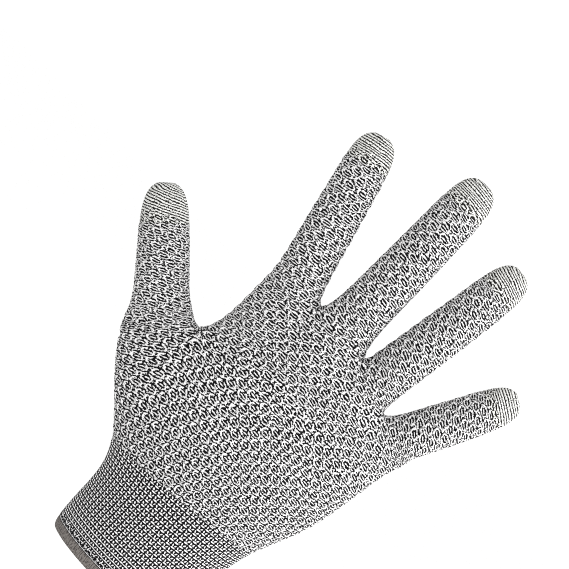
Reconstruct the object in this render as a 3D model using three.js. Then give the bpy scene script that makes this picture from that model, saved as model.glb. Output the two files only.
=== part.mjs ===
// Knitted protective glove for a right hand, size 9, in the open form that it has when it is worn.
// Millimetres. The origin is the centre of the cuff opening, +Z runs up the hand to the middle finger,
// the thumb is at -X and the back of the hand faces -Y.
//
// One net of four-sided faces covers the whole glove: rows of columns make the cuff and the palm, the thumb
// leaves between two rows, and the four fingers grow out of the last row. The net is smoothed once and cut
// into its pieces, and each piece is thickened inwards to the wall of the knit.
import * as THREE from "three";

const wall = 1.4; // thickness of the knit
const seamGap = 0.3; // free space between two pieces that meet
const hemWidth = 3.4; // width of the bound edge
const cuffStep = 16; // height of the row above the bound edge

// Columns of the net on each side of the hand, counted from the thumb side.
const palmColumns = 15;
const thumbColumns = 3;
const fingerColumns = 3;

// Smoothing draws a ring of few columns inwards, so the net of a finger is this much larger.
const ringSwell = 1.1;

// It also draws the row of the bound edge towards the next one, so that row starts this much lower.
const hemRow = (hemWidth - cuffStep / 8) / 0.75;

// Turns a table with named columns into a list of objects.
function table(names, rows) {
  return rows.map((row) => Object.fromEntries(names.map((name, i) => [name, row[i]])));
}

// Rows of the cuff and palm below the parting of the thumb. left, split and right are points of a row seen
// from the back of the hand, and the thumb's columns lie between left and split. backDepth and palmDepth
// are the half thicknesses to the two sides of a middle surface, which lies at leftY, midY and rightY.
// square is 1 for an ellipse and less for a flatter section.
const lowerRows = table(
  [
    "leftX", "leftZ", "splitX", "splitZ", "rightX", "rightZ",
    "backDepth", "palmDepth", "leftY", "midY", "rightY", "square",
  ],
  [
    [-29.8, -seamGap / 2, null, null, 30.6, -seamGap / 2, 21.6, 21.6, 0, 0, 0, 1.0],
    [-31.2, hemRow, null, null, 31.6, hemRow, 22.0, 22.0, 0, 0, 0, 1.0],
    [-32.4, cuffStep, null, null, 32.6, cuffStep, 22.0, 22.0, 0, 0, 0, 1.0],
    [-32.4, 30.0, null, null, 33.4, 34.0, 20.6, 21.0, 0, 0, 0, 0.95],
    [-37.6, 42.0, null, null, 37.2, 49.5, 18.5, 20.0, 1, 0, 1, 0.88],
    [-48.8, 52.5, -31.5, 56.5, 42.8, 61.0, 16.0, 19.5, 4, 0, 2, 0.8],
    [-59.8, 62.5, -37.0, 70.5, 47.4, 72.0, 14.4, 18.5, 7, -0.5, 2, 0.75],
    [-67.6, 71.0, -41.5, 85.0, 50.0, 83.0, 13.4, 17.0, 9, -1, 3, 0.72],
    [-73.2, 79.2, -44.8, 98.2, 51.8, 93.5, 12.8, 15.5, 10, -1, 3, 0.7],
  ],
);

// Rows of the palm above the thumb. arch lifts the middle of a row towards the fingers.
const upperRows = table(
  [
    "leftX", "leftZ", "rightX", "rightZ", "arch",
    "backDepth", "palmDepth", "leftY", "midY", "rightY", "square",
  ],
  [
    [-41.2, 108.0, 53.0, 102.5, 3.0, 12.4, 14.0, 3, -1.5, 3, 0.7],
    [-41.0, 121.0, 54.6, 112.0, 7.0, 12.0, 12.6, 2, -2, 3, 0.7],
  ],
);

// Soft bulges and hollows of the palm: side is -1 on the back of the hand and 1 on the palm side, and a
// negative height is a hollow.
const pads = table(
  ["x", "z", "side", "radius", "height"],
  [
    [-31, 122, -1, 11, 1.8], // knuckles, from the index finger to the little finger
    [-4, 128, -1, 11, 2.2],
    [19, 124, -1, 11, 1.8],
    [42, 111, -1, 11, 1.4],
    [-42, 70, 1, 24, 5.0], // ball of the thumb
    [28, 62, 1, 24, 3.5], // heel of the hand
    [4, 92, 1, 22, -3.0], // hollow of the palm
    [-4, 125, 1, 24, 1.8], // pads under the fingers
    [32, 112, 1, 16, 1.5],
    [-46, 104, -1, 14, -2.0], // dip between the thumb and the index finger
  ],
);

// The last of the lower rows in each piece of the body.
const pieceRows = { cuff_hem: 1, wrist_cuff: 4, palm: lowerRows.length - 1 };

// The last row: its two ends and the three points where fingers part. web is half the depth there.
const lastRow = { backDepth: 10.6, palmDepth: 10.6, leftY: 1.5, midY: -1.5, rightY: 3, square: 0.7 };
const thumbWeb = 9; // half the depth where the thumb parts from the palm
const fingerRoots = table(
  ["x", "z", "web"],
  [
    [-41.9, 135.5, null],
    [-15.6, 140.1, 6.5],
    [12.5, 138.5, 6.5],
    [33.5, 126.4, 6.5],
    [58.2, 118.8, null],
  ],
);

// Fingers, from the thumb to the little finger. The tip is the end of the centre line; width and depth are
// those of the first joint. midY and tipY bend the centre line towards the palm, and plain is the length of
// the plain knitted end.
const fingers = table(
  ["name", "tipName", "tipX", "tipZ", "width", "depth", "midY", "tipY", "flare", "plain"],
  [
    ["thumb", "thumb_tip", -98.0, 132.0, 22.8, 20.5, 11.0, 14.0, 1.2, 16.5],
    ["index_finger", "index_tip", -46.9, 210.1, 21.0, 19.0, -2.0, 6.0, 1.05, 12.8],
    ["middle_finger", "middle_tip", -2.0, 226.3, 21.2, 19.4, -3.0, 7.0, 1.05, 12.8],
    ["ring_finger", "ring_tip", 35.2, 210.8, 19.8, 18.4, -1.0, 7.5, 1.02, 12.8],
    ["little_finger", "little_tip", 71.4, 172.2, 18.4, 17.0, 1.5, 7.0, 1.02, 12.4],
  ],
);

// Sections of every finger: share is the way from the root to the plain end, the other columns are shares of
// the finger's own width and depth. The first section also takes the finger's flare.
const tubeSections = table(
  ["share", "width", "depth"],
  [
    [0.1, 1.0, 1.0],
    [0.3, 1.01, 1.0],
    [0.53, 1.0, 0.98],
    [0.77, 0.96, 0.9],
    [1.0, 0.95, 0.84],
  ],
);

// Sections of the rounded end, by their distance from the tip as a share of the plain length.
const endSections = table(
  ["share", "width", "depth"],
  [
    [0.48, 0.87, 0.74],
    [0.1, 0.66, 0.52],
    [-0.06, 0.34, 0.24],
  ],
);

const materials = {
  honeycomb: { color: 0x9b999a, roughness: 0.9, metalness: 0 },
  plain: { color: 0xa9a69f, roughness: 0.88, metalness: 0 },
  cuff: { color: 0x989697, roughness: 0.9, metalness: 0 },
  hem: { color: 0x7d7873, roughness: 0.85, metalness: 0 },
};

const points = []; // corners of the net
const faces = []; // { corners: four point numbers, piece: node name }

function addPoint(x, y, z) {
  return points.push(new THREE.Vector3(x, y, z)) - 1;
}

// Joins two rings of corners with a closed band of faces.
function addBand(low, high, piece) {
  low.forEach((corner, i) => {
    const next = (i + 1) % low.length;
    faces.push({ corners: [corner, low[next], high[next], high[i]], piece });
  });
}

// How far the pads of one side of the hand lift it at a point.
function padHeight(point, side) {
  return pads
    .filter((pad) => pad.side === side)
    .reduce((sum, pad) => {
      const away = Math.hypot(point.x - pad.x, point.z - pad.z) / pad.radius;
      return sum + pad.height * Math.exp(-away * away);
    }, 0);
}

// A smooth curve through three values at 0, a half and 1.
function through(first, middle, last, t) {
  return first * (1 - t) * (1 - 2 * t) + middle * 4 * t * (1 - t) + last * t * (2 * t - 1);
}

// Goes round a row: along the back of the hand, then back along the palm side.
function ringOf(row, first, last) {
  return [...row.back.slice(first, last + 1), ...row.palm.slice(first, last + 1).reverse()];
}

// Corners of one row. keys are points of the row with the column that each one holds; the outermost two are
// the row's extremes, half a column outside its first and last corners. Columns are spread evenly along the
// section between two keys. Returns corner numbers by column, for the back of the hand and the palm side.
function addRow(row, keys) {
  const steps = 400; // steps along the section, to measure its length
  const reach = [0];
  keys.slice(1).forEach((key, i) => {
    reach.push(reach[i] + Math.hypot(key.x - keys[i].x, key.z - keys[i].z));
  });
  const total = reach[reach.length - 1];
  const share = (turn) => (1 - Math.cos(turn)) / 2;

  // The point of the middle surface at an angle from the left extreme (0) to the right one (half a turn).
  function middle(turn) {
    const along = share(turn) * total;
    const part = Math.min(keys.length - 2, reach.slice(1).filter((r) => r <= along).length);
    const t = (along - reach[part]) / (reach[part + 1] - reach[part]);
    const s = share(turn);
    const x = THREE.MathUtils.lerp(keys[part].x, keys[part + 1].x, t);
    const z = THREE.MathUtils.lerp(keys[part].z, keys[part + 1].z, t) + (row.arch ?? 0) * 4 * s * (1 - s);
    return new THREE.Vector3(x, through(row.leftY, row.midY, row.rightY, s), z);
  }
  const bulge = (turn) => Math.sin(turn) ** row.square;
  const meanDepth = (row.backDepth + row.palmDepth) / 2;

  // Length along the section up to each step, from which the columns are spaced.
  const lengths = [0];
  let previous = middle(0);
  for (let i = 1; i <= steps; i += 1) {
    const turn = (Math.PI * i) / steps;
    const point = middle(turn).setY(meanDepth * bulge(turn));
    lengths.push(lengths[i - 1] + point.distanceTo(previous));
    previous = point;
  }
  const keyLengths = reach.map((r) => {
    const turn = Math.acos(THREE.MathUtils.clamp(1 - (2 * r) / total, -1, 1));
    return lengths[Math.round((turn / Math.PI) * steps)];
  });

  const ring = { back: [], palm: [] };
  const firstColumn = Math.ceil(keys[0].column);
  const lastColumn = Math.floor(keys[keys.length - 1].column);
  for (let column = firstColumn; column <= lastColumn; column += 1) {
    const part = keys.findIndex((key, i) => keys[i + 1].column >= column);
    const t = (column - keys[part].column) / (keys[part + 1].column - keys[part].column);
    const length = THREE.MathUtils.lerp(keyLengths[part], keyLengths[part + 1], t);
    const step = lengths.findIndex((l) => l >= length);
    const turn = (Math.PI * step) / steps;
    const centre = middle(turn);
    const web = keys.find((key) => key.column === column)?.web;
    const backDepth = web ?? row.backDepth * bulge(turn) + padHeight(centre, -1);
    const palmDepth = web ?? row.palmDepth * bulge(turn) + padHeight(centre, 1);
    ring.back[column] = addPoint(centre.x, centre.y - backDepth, centre.z);
    ring.palm[column] = addPoint(centre.x, centre.y + palmDepth, centre.z);
  }
  return ring;
}

// A ring of a finger: centre, half width along the direction across, and half depth.
function addFingerRing(centre, across, width, depth) {
  const count = 2 * (fingerColumns + 1);
  return Array.from({ length: count }, (_, i) => {
    const turn = -Math.PI + ((i + 0.5) * 2 * Math.PI) / count;
    const along = (Math.cos(turn) * width * ringSwell) / 2;
    const out = (Math.sin(turn) * depth * ringSwell) / 2;
    return addPoint(centre.x + along * across.x, centre.y + out, centre.z + along * across.z);
  });
}

// A finger from its root ring to the closed end.
function addFinger(finger, root) {
  const start = average(root.map((corner) => points[corner]));
  const end = new THREE.Vector3(finger.tipX, finger.tipY, finger.tipZ);
  const reach = Math.hypot(end.x - start.x, end.z - start.z);
  const across = new THREE.Vector3((end.z - start.z) / reach, 0, -(end.x - start.x) / reach);
  const centreAt = (length) => {
    const centre = start.clone().lerp(end, length / reach);
    return centre.setY(through(start.y, finger.midY, end.y, length / reach));
  };

  let ring = root;
  function addSection(length, section, flare, piece) {
    const width = section.width * finger.width * flare;
    const next = addFingerRing(centreAt(length), across, width, section.depth * finger.depth);
    addBand(ring, next, piece);
    ring = next;
  }
  tubeSections.forEach((section, i) => {
    const flare = i === 0 ? finger.flare : 1;
    addSection(section.share * (reach - finger.plain), section, flare, finger.name);
  });
  endSections.forEach((section) => {
    addSection(reach - section.share * finger.plain, section, 1, finger.tipName);
  });
  for (let i = 0; i < fingerColumns; i += 1) {
    const opposite = ring.length - 1 - i;
    const corners = [ring[i], ring[i + 1], ring[opposite - 1], ring[opposite]];
    faces.push({ corners, piece: finger.tipName });
  }
}

function addGlove() {
  const rows = lowerRows.map((row, i) => {
    const keys = [
      { column: -0.5, x: row.leftX, z: row.leftZ },
      { column: palmColumns + 0.5, x: row.rightX, z: row.rightZ },
    ];
    if (row.splitX !== null) {
      const web = i === lowerRows.length - 1 ? thumbWeb : undefined;
      keys.splice(1, 0, { column: thumbColumns, x: row.splitX, z: row.splitZ, web });
    }
    return addRow(row, keys);
  });
  for (let i = 1; i < rows.length; i += 1) {
    const piece = Object.keys(pieceRows).find((name) => i <= pieceRows[name]);
    addBand(ringOf(rows[i - 1], 0, palmColumns), ringOf(rows[i], 0, palmColumns), piece);
  }

  const parting = rows[rows.length - 1];
  addFinger(fingers[0], ringOf(parting, 0, thumbColumns));

  let low = ringOf(parting, thumbColumns, palmColumns);
  let row = null;
  [...upperRows, lastRow].forEach((section) => {
    const keys = section === lastRow
      ? fingerRoots.map((root, i) => ({ ...root, column: thumbColumns + i * fingerColumns }))
      : [
        { column: thumbColumns, x: section.leftX, z: section.leftZ },
        { column: palmColumns, x: section.rightX, z: section.rightZ },
      ];
    keys[0].column -= 0.5;
    keys[keys.length - 1].column += 0.5;
    row = addRow(section, keys);
    const high = ringOf(row, thumbColumns, palmColumns);
    addBand(low, high, "palm");
    low = high;
  });
  fingers.slice(1).forEach((finger, i) => {
    const first = thumbColumns + i * fingerColumns;
    addFinger(finger, ringOf(row, first, first + fingerColumns));
  });
}

// One round of Catmull-Clark smoothing: each face becomes four, and an open edge keeps its own curve.
function smooth() {
  const facePoints = faces.map((face) => average(face.corners.map((corner) => points[corner])));
  const edges = new Map();
  const facesOf = points.map(() => []);
  const edgesOf = points.map(() => []);
  faces.forEach((face, f) => {
    face.corners.forEach((a, i) => {
      const b = face.corners[(i + 1) % 4];
      const key = a < b ? `${a} ${b}` : `${b} ${a}`;
      if (!edges.has(key)) {
        edges.set(key, { a, b, faces: [] });
        edgesOf[a].push(edges.get(key));
        edgesOf[b].push(edges.get(key));
      }
      edges.get(key).faces.push(f);
      facesOf[a].push(f);
    });
  });

  const finePoints = points.map((point, i) => {
    const open = edgesOf[i].filter((edge) => edge.faces.length === 1);
    if (open.length === 2) {
      const ends = average(open.map((edge) => points[edge.a === i ? edge.b : edge.a]));
      return ends.multiplyScalar(0.25).addScaledVector(point, 0.75);
    }
    const count = facesOf[i].length;
    const aroundFaces = average(facesOf[i].map((f) => facePoints[f]));
    const aroundEdges = average(edgesOf[i].map((edge) => average([points[edge.a], points[edge.b]])));
    return aroundFaces
      .addScaledVector(aroundEdges, 2)
      .addScaledVector(point, count - 3)
      .divideScalar(count);
  });
  edges.forEach((edge) => {
    const ends = [points[edge.a], points[edge.b]];
    const around = edge.faces.length === 2 ? [...ends, ...edge.faces.map((f) => facePoints[f])] : ends;
    edge.point = finePoints.push(average(around)) - 1;
  });
  const fineFaces = faces.flatMap((face, f) => {
    const centre = finePoints.push(facePoints[f]) - 1;
    const around = face.corners.map((a, i) => {
      const b = face.corners[(i + 1) % 4];
      return edges.get(a < b ? `${a} ${b}` : `${b} ${a}`).point;
    });
    return face.corners.map((corner, i) => ({
      corners: [corner, around[i], centre, around[(i + 3) % 4]],
      piece: face.piece,
    }));
  });
  return { finePoints, fineFaces };
}

function average(list) {
  return list.reduce((sum, point) => sum.add(point), new THREE.Vector3()).divideScalar(list.length);
}

// Outward direction at each point of the smoothed net.
function outwardAt(netPoints, netFaces) {
  const outward = netPoints.map(() => new THREE.Vector3());
  netFaces.forEach(({ corners }) => {
    const [a, b, c, d] = corners.map((corner) => netPoints[corner]);
    const normal = new THREE.Vector3().subVectors(c, a).cross(new THREE.Vector3().subVectors(d, b));
    corners.forEach((corner) => outward[corner].add(normal));
  });
  return outward.map((direction) => direction.normalize());
}

// One piece of the glove as a closed shell: its outer faces, the same faces moved in by the wall, and a rim
// along each edge, which keeps half of the seam gap.
function shell(name, netPoints, netFaces, outward) {
  const own = netFaces.filter((face) => face.piece === name);
  const numbers = new Map();
  const inside = [];
  const used = new Map();
  own.forEach(({ corners }) => {
    const centre = average(corners.map((corner) => netPoints[corner]));
    corners.forEach((a, i) => {
      const b = corners[(i + 1) % 4];
      used.set(`${a} ${b}`, [a, b]);
      if (!numbers.has(a)) {
        numbers.set(a, numbers.size);
        inside.push({ corner: a, pull: new THREE.Vector3() });
      }
      inside[numbers.get(a)].pull.add(centre.clone().sub(netPoints[a]).normalize());
    });
  });
  const rim = [...used.values()].filter(([a, b]) => !used.has(`${b} ${a}`));
  const onRim = new Set(rim.flat());

  const outer = [];
  const inner = [];
  inside.forEach(({ corner, pull }) => {
    const normal = outward[corner];
    const point = netPoints[corner].clone();
    if (onRim.has(corner)) {
      pull.addScaledVector(normal, -pull.dot(normal)).normalize();
      point.addScaledVector(pull, seamGap / 2);
    }
    outer.push(...point.toArray());
    inner.push(...point.addScaledVector(normal, -wall).toArray());
  });

  const count = inside.length;
  const triangles = [];
  const addFace = (a, b, c, d) => triangles.push(a, b, c, a, c, d);
  own.forEach(({ corners }) => {
    const [a, b, c, d] = corners.map((corner) => numbers.get(corner));
    addFace(a, b, c, d);
    addFace(a + count, d + count, c + count, b + count);
  });
  rim.forEach(([a, b]) => {
    const corners = [numbers.get(b), numbers.get(a), numbers.get(a) + count, numbers.get(b) + count];
    if (a > b) corners.push(corners.shift()); // both pieces at a seam split its rim the same way
    addFace(...corners);
  });
  const geometry = new THREE.BufferGeometry();
  geometry.setAttribute("position", new THREE.Float32BufferAttribute([...outer, ...inner], 3));
  geometry.setIndex(triangles);
  geometry.computeVertexNormals();
  return geometry;
}

function materialOf(name) {
  if (name === "cuff_hem") return materials.hem;
  if (name === "wrist_cuff") return materials.cuff;
  return name.endsWith("_tip") ? materials.plain : materials.honeycomb;
}

addGlove();
const { finePoints, fineFaces } = smooth();
const outward = outwardAt(finePoints, fineFaces);
const glove = new THREE.Group();
const names = [...Object.keys(pieceRows), ...fingers.flatMap((finger) => [finger.name, finger.tipName])];
names.forEach((name) => {
  const material = new THREE.MeshStandardMaterial(materialOf(name));
  const piece = new THREE.Mesh(shell(name, finePoints, fineFaces, outward), material);
  piece.name = name;
  glove.add(piece);
});

export default glove;
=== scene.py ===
import math

import bpy
import numpy as np
from mathutils import Matrix, Vector
from mathutils.kdtree import KDTree


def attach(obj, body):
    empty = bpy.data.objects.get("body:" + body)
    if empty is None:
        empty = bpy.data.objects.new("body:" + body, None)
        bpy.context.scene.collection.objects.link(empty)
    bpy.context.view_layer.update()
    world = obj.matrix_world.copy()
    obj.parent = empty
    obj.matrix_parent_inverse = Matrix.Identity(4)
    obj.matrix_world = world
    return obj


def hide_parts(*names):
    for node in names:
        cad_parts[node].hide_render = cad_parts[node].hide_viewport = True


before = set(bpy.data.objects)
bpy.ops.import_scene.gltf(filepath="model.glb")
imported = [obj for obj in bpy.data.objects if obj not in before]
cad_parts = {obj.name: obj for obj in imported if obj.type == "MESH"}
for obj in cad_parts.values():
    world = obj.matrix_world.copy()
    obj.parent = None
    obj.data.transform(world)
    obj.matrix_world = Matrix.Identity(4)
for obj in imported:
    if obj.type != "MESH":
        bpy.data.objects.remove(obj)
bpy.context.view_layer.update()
mm = 0.001  # tables below are in millimetres, Blender's scene is in metres

# Knitted protective glove for a right hand, in the open form that it has when worn: the cuff's opening
# lies at the origin, the fingers point up (+Z), the thumb is at -X and the back of the hand faces -Y.
print("glove: scene started")

# Camera and studio
camera = {
    "lensMm": 100,
    "sensorMm": 36,
    "clipStart": 10 * mm,
    "place": (-32.4 * mm, -658 * mm, 137.5 * mm),
    "rollDegrees": 45,  # the hand lies across the picture's diagonal
    "filterPixels": 1.0,  # sharp to the pixel, so single stitches read
}
studio = {
    "floorZ": -60 * mm,
    "floorSize": 40,  # in metres, so its edge lies far behind the glove
    "floorColour": "#FAFAF9",
    "floorRoughness": 0.95,
    # the white room, from the thumb's side across to the little finger's side: place and brightness
    "room": [(0.1, 0.35), (0.36, 1.08), (0.64, 1.08), (0.9, 1.75)],
    "aim": (0, 0, 120 * mm),
    "keyPlace": (0.9, -0.2, 0.0),
    "keySize": 0.5,
    "keyPower": 8,
    "fillPlace": (-0.1, -1.2, 0.5),
    "fillSize": 1.0,
    "fillPower": 4,
}


def linearColour(hexText):
    channels = [int(hexText[i:i + 2], 16) / 255 for i in (1, 3, 5)]
    return tuple(c / 12.92 if c <= 0.04045 else ((c + 0.055) / 1.055) ** 2.4 for c in channels) + (1.0,)


def addNode(tree, kind, settings={}, inputs={}):
    node = tree.nodes.new("ShaderNode" + kind)
    for name, value in settings.items():
        setattr(node, name, value)
    for socket, value in inputs.items():
        if isinstance(value, bpy.types.Node):
            value = value.outputs[0]
        if isinstance(value, bpy.types.NodeSocket):
            tree.links.new(value, node.inputs[socket])
        else:
            node.inputs[socket].default_value = value
    return node


def startMaterial(name):
    material = bpy.data.materials.new(name)
    material.use_nodes = True
    tree = material.node_tree
    tree.nodes.clear()
    shader = addNode(tree, "BsdfPrincipled")
    addNode(tree, "OutputMaterial", inputs={"Surface": shader})
    return material, tree, shader


def makeCamera():
    data = bpy.data.cameras.new("camera")
    data.lens = camera["lensMm"]
    data.sensor_width = camera["sensorMm"]
    data.clip_start = camera["clipStart"]
    item = bpy.data.objects.new("camera", data)
    bpy.context.scene.collection.objects.link(item)
    upright = Matrix.Rotation(math.radians(90), 4, "X")
    roll = Matrix.Rotation(math.radians(camera["rollDegrees"]), 4, "Z")
    item.matrix_world = Matrix.Translation(camera["place"]) @ upright @ roll
    bpy.context.scene.camera = item
    bpy.context.scene.view_settings.view_transform = "Standard"
    bpy.context.scene.cycles.filter_width = camera["filterPixels"]
    bpy.context.scene.cycles.use_denoising = False


def addAreaLight(name, place, size, power):
    data = bpy.data.lights.new(name, "AREA")
    data.size = size
    data.energy = power
    item = bpy.data.objects.new(name, data)
    item.location = place
    towards = Vector(studio["aim"]) - Vector(place)
    item.rotation_euler = towards.to_track_quat("-Z", "Y").to_euler()
    bpy.context.scene.collection.objects.link(item)


def makeRoom():
    # white walls all round, a soft light that is strongest from the little finger's side
    world = bpy.data.worlds.new("studioWorld")
    world.use_nodes = True
    tree = world.node_tree
    direction = addNode(tree, "TexCoord").outputs["Generated"]
    across = addNode(tree, "SeparateXYZ", inputs={"Vector": direction}).outputs["X"]
    share = addNode(tree, "MapRange", inputs={"Value": across, "From Min": -1})
    walls = addNode(tree, "ValToRGB", inputs={"Fac": share})
    stops = walls.color_ramp.elements
    for place, level in studio["room"][1:-1]:
        stops.new(place)
    for stop, (place, level) in zip(stops, studio["room"]):
        stop.position = place
        stop.color = (level, level, level, 1)
    tree.links.new(walls.outputs["Color"], tree.nodes["Background"].inputs["Color"])
    bpy.context.scene.world = world


def makeFloor():
    half = studio["floorSize"] / 2
    corners = [(-half, -half, 0), (half, -half, 0), (half, half, 0), (-half, half, 0)]
    mesh = bpy.data.meshes.new("floor")
    mesh.from_pydata(corners, [], [(0, 1, 2, 3)])
    floor = bpy.data.objects.new("floor", mesh)
    floor.location.z = studio["floorZ"]
    bpy.context.scene.collection.objects.link(floor)
    # matt paper off a roll: flat white with no gloss, so it holds no reflections
    paper, tree, shader = startMaterial("mattPaperRoll")
    shader.inputs["Base Color"].default_value = linearColour(studio["floorColour"])
    shader.inputs["Roughness"].default_value = studio["floorRoughness"]
    mesh.materials.append(paper)


makeCamera()
makeRoom()
makeFloor()
addAreaLight("keyLight", studio["keyPlace"], studio["keySize"], studio["keyPower"])
addAreaLight("fillLight", studio["fillPlace"], studio["fillSize"], studio["fillPower"])
print("glove: camera and studio made")

# The net. One net of quads covers the whole glove, as a glove is knitted: rows of columns make the cuff
# and palm, the thumb leaves at one row, the parting, and the fingers grow out of the last row. Each quad
# carries the piece it belongs to, and its place in the knitted pattern, counted in honeycomb cells.
net = {
    "wallMm": 1.4,
    "hemWidthMm": 3.4,
    "cuffStepMm": 16,  # from the opening to the first row above the hem
    "palmColumns": 15,
    "thumbColumns": 3,
    "fingerColumns": 3,
    "thumbWebMm": 9,  # half the depth of the web beside the thumb
    "rootStepMm": 14,  # from a finger's root to the row below it
    "ringSwell": 1.1,  # a ring of few columns shrinks when it is smoothed, so it starts larger
    "outerLevels": 4,  # the outside is finer, for the relief
    "innerLevels": 3,
    "sectionSteps": 400,  # points along one side of a row, from which its corners are chosen
}
cells = {
    "heightMm": 6.3,  # a honeycomb cell along the palm, along a finger and round the cuff
    "fingerHeightMm": 6.0,
    "cuffWidthMm": 4.3,
    "fingerBack": 3.8,  # cells over the back of a finger's root, and over its palm side
    "fingerPalm": 3.2,
    "thumbBack": 4.6,  # over the back of the thumb's root
    "roundThumb": 11,
    "web": 1,  # through the web beside a finger, and round the edge of the hand
    "thumbWeb": 1.5,
    "handBack": 18.3,  # over the back of the hand below the thumb
}
cells["roundFinger"] = cells["fingerBack"] + cells["fingerPalm"] + 2 * cells["web"]
cells["roundUpper"] = 4 * (cells["fingerBack"] + cells["fingerPalm"]) + 2 * cells["web"]
cells["roundPalm"] = cells["roundUpper"] + cells["roundThumb"] - 2 * cells["thumbWeb"]

# one smoothing gives the hem's edge these shares of the heights of its own row and of the next
ownShare, aboveShare = 3 / 4, 1 / 8
cuffRowZ = net["cuffStepMm"]
hemRowZ = (net["hemWidthMm"] - cuffRowZ * aboveShare) / ownShare


def namedRows(names, rows):
    return [dict(zip(names.split(), row)) for row in rows]


# A row runs from leftX to rightX, and a split is where the thumb's columns end. leftY, midY and rightY say
# how far its middle lies to the palm side. Its section is an ellipse where square is 1, and boxier below
# that. v is the row's place in the pattern, and sink is how much lower its courses lie on the little
# finger's side.
lowerRows = namedRows(
    "leftX leftZ splitX splitZ rightX rightZ backDepth palmDepth leftY midY rightY square v sink",
    [
        (-29.8, -0.15, None, None, 30.6, -0.15, 21.6, 21.6, 0, 0, 0, 1.0, -7.28, 0),
        (-31.2, hemRowZ, None, None, 31.6, hemRowZ, 22.0, 22.0, 0, 0, 0, 1.0, -6.96, 0),
        (-32.4, cuffRowZ, None, None, 32.6, cuffRowZ, 22.0, 22.0, 0, 0, 0, 1.0, -4.71, 0),
        (-32.4, 30.0, None, None, 33.4, 34.0, 20.6, 21.0, 0, 0, 0, 0.95, -2.17, 0),
        (-37.6, 42.0, None, None, 37.2, 49.5, 18.5, 20.0, 1, 0, 1, 0.88, 0, 0.5),
        (-48.8, 52.5, -31.5, 56.5, 42.8, 61.0, 16.0, 19.5, 4, 0, 2, 0.8, 2.1, 0.7),
        (-59.8, 62.5, -37.0, 70.5, 47.4, 72.0, 14.4, 18.5, 7, -0.5, 2, 0.75, 4.1, 0.8),
        (-67.6, 71.0, -41.5, 85.0, 50.0, 83.0, 13.4, 17.0, 9, -1, 3, 0.72, 6.1, 0.9),
        (-73.2, 79.2, -44.8, 98.2, 51.8, 93.5, 12.8, 15.5, 10, -1, 3, 0.7, 8.0, 0.9),
    ],
)
upperRows = namedRows(
    "leftX leftZ rightX rightZ arch backDepth palmDepth leftY midY rightY square v sink",
    [
        (-41.2, 108.0, 53.0, 102.5, 3.0, 12.4, 14.0, 3, -1.5, 3, 0.7, 9.9, 0.7),
        (-41.0, 121.0, 54.6, 112.0, 7.0, 12.0, 12.6, 2, -2, 3, 0.7, 12.35, -0.1),
    ],
)
lastRow = {"backDepth": 10.6, "palmDepth": 10.6, "leftY": 1.5, "midY": -1.5, "rightY": 3, "square": 0.7}
fingerRoots = namedRows(
    "x z web v",  # web is half the depth of the web that parts two fingers
    [
        (-41.9, 135.5, None, 14.5),
        (-15.6, 140.1, 6.5, 14.7),
        (12.5, 138.5, 6.5, 14.65),
        (33.5, 126.4, 6.5, 13.5),
        (58.2, 118.8, None, 13.7),
    ],
)
pads = namedRows(
    "x z side radius height",  # side is -1 on the back of the hand and 1 on the palm side
    [
        (-31, 122, -1, 11, 1.8),  # knuckles
        (-4, 128, -1, 11, 2.2),
        (19, 124, -1, 11, 1.8),
        (42, 111, -1, 11, 1.4),
        (-42, 70, 1, 24, 5.0),  # ball of the thumb
        (28, 62, 1, 24, 3.5),  # heel of the hand
        (4, 92, 1, 22, -3.0),  # hollow of the palm
        (-4, 125, 1, 24, 1.8),  # pads under the fingers
        (32, 112, 1, 16, 1.5),
        (-46, 104, -1, 14, -2.0),  # dip beside the thumb
    ],
)
# plain is the length of the plain end, and slant and tipSlant say how much higher the courses lie on the
# thumb side, on the finger and on its plain end
fingers = namedRows(
    "name tipName tipX tipZ width depth midY tipY flare plain slant tipSlant",
    [
        ("thumb", "thumb_tip", -98.0, 132.0, 22.8, 20.5, 11.0, 14.0, 1.2, 16.5, 0.55, 0.6),
        ("index_finger", "index_tip", -46.9, 210.1, 21.0, 19.0, -2.0, 6.0, 1.05, 12.8, 0.22, 0.1),
        ("middle_finger", "middle_tip", -2.0, 226.3, 21.2, 19.4, -3.0, 7.0, 1.05, 12.8, 0.22, 0.15),
        ("ring_finger", "ring_tip", 35.2, 210.8, 19.8, 18.4, -1.0, 7.5, 1.02, 12.8, 0.22, 0.3),
        ("little_finger", "little_tip", 71.4, 172.2, 18.4, 17.0, 1.5, 7.0, 1.02, 12.4, 0.22, 0.1),
    ],
)
# share of the length up to the plain end, and shares of width and depth; then the same from the tip down
tubeSections = [(0.1, 1.0, 1.0), (0.3, 1.01, 1.0), (0.53, 1.0, 0.98), (0.77, 0.96, 0.9), (1.0, 0.95, 0.84)]
endSections = [(0.48, 0.87, 0.74), (0.1, 0.66, 0.52), (-0.06, 0.34, 0.24)]
bodyLastRow = {"cuff_hem": 1, "wrist_cuff": 4, "palm": 8}  # which of the lower rows each piece ends at
pieceNames = list(bodyLastRow) + [finger[key] for finger in fingers for key in ("name", "tipName")]

lastColumn = net["palmColumns"]
thumbColumn = net["thumbColumns"]  # where the thumb's columns end and the index finger's begin
step = net["fingerColumns"]  # from one finger root to the next
middleColumn = thumbColumn + 2 * step  # between middle and ring finger
upperColumns = lastColumn - thumbColumn

points = []  # corners of the net, in millimetres
quads = []  # four corner numbers each
quadPieces = []
quadCells = []  # the four corners' places in the pattern


def addPoint(x, y, z):
    points.append((x, y, z))
    return len(points) - 1


def through(first, middle, last, t):  # a smooth curve through three values at 0, a half and 1
    return first * (1 - t) * (1 - 2 * t) + middle * 4 * t * (1 - t) + last * t * (2 * t - 1)


def padHeight(x, z, side):
    total = 0
    for pad in pads:
        if pad["side"] == side:
            away = math.hypot(x - pad["x"], z - pad["z"]) / pad["radius"]
            total += pad["height"] * math.exp(-away ** 2)
    return total


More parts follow.
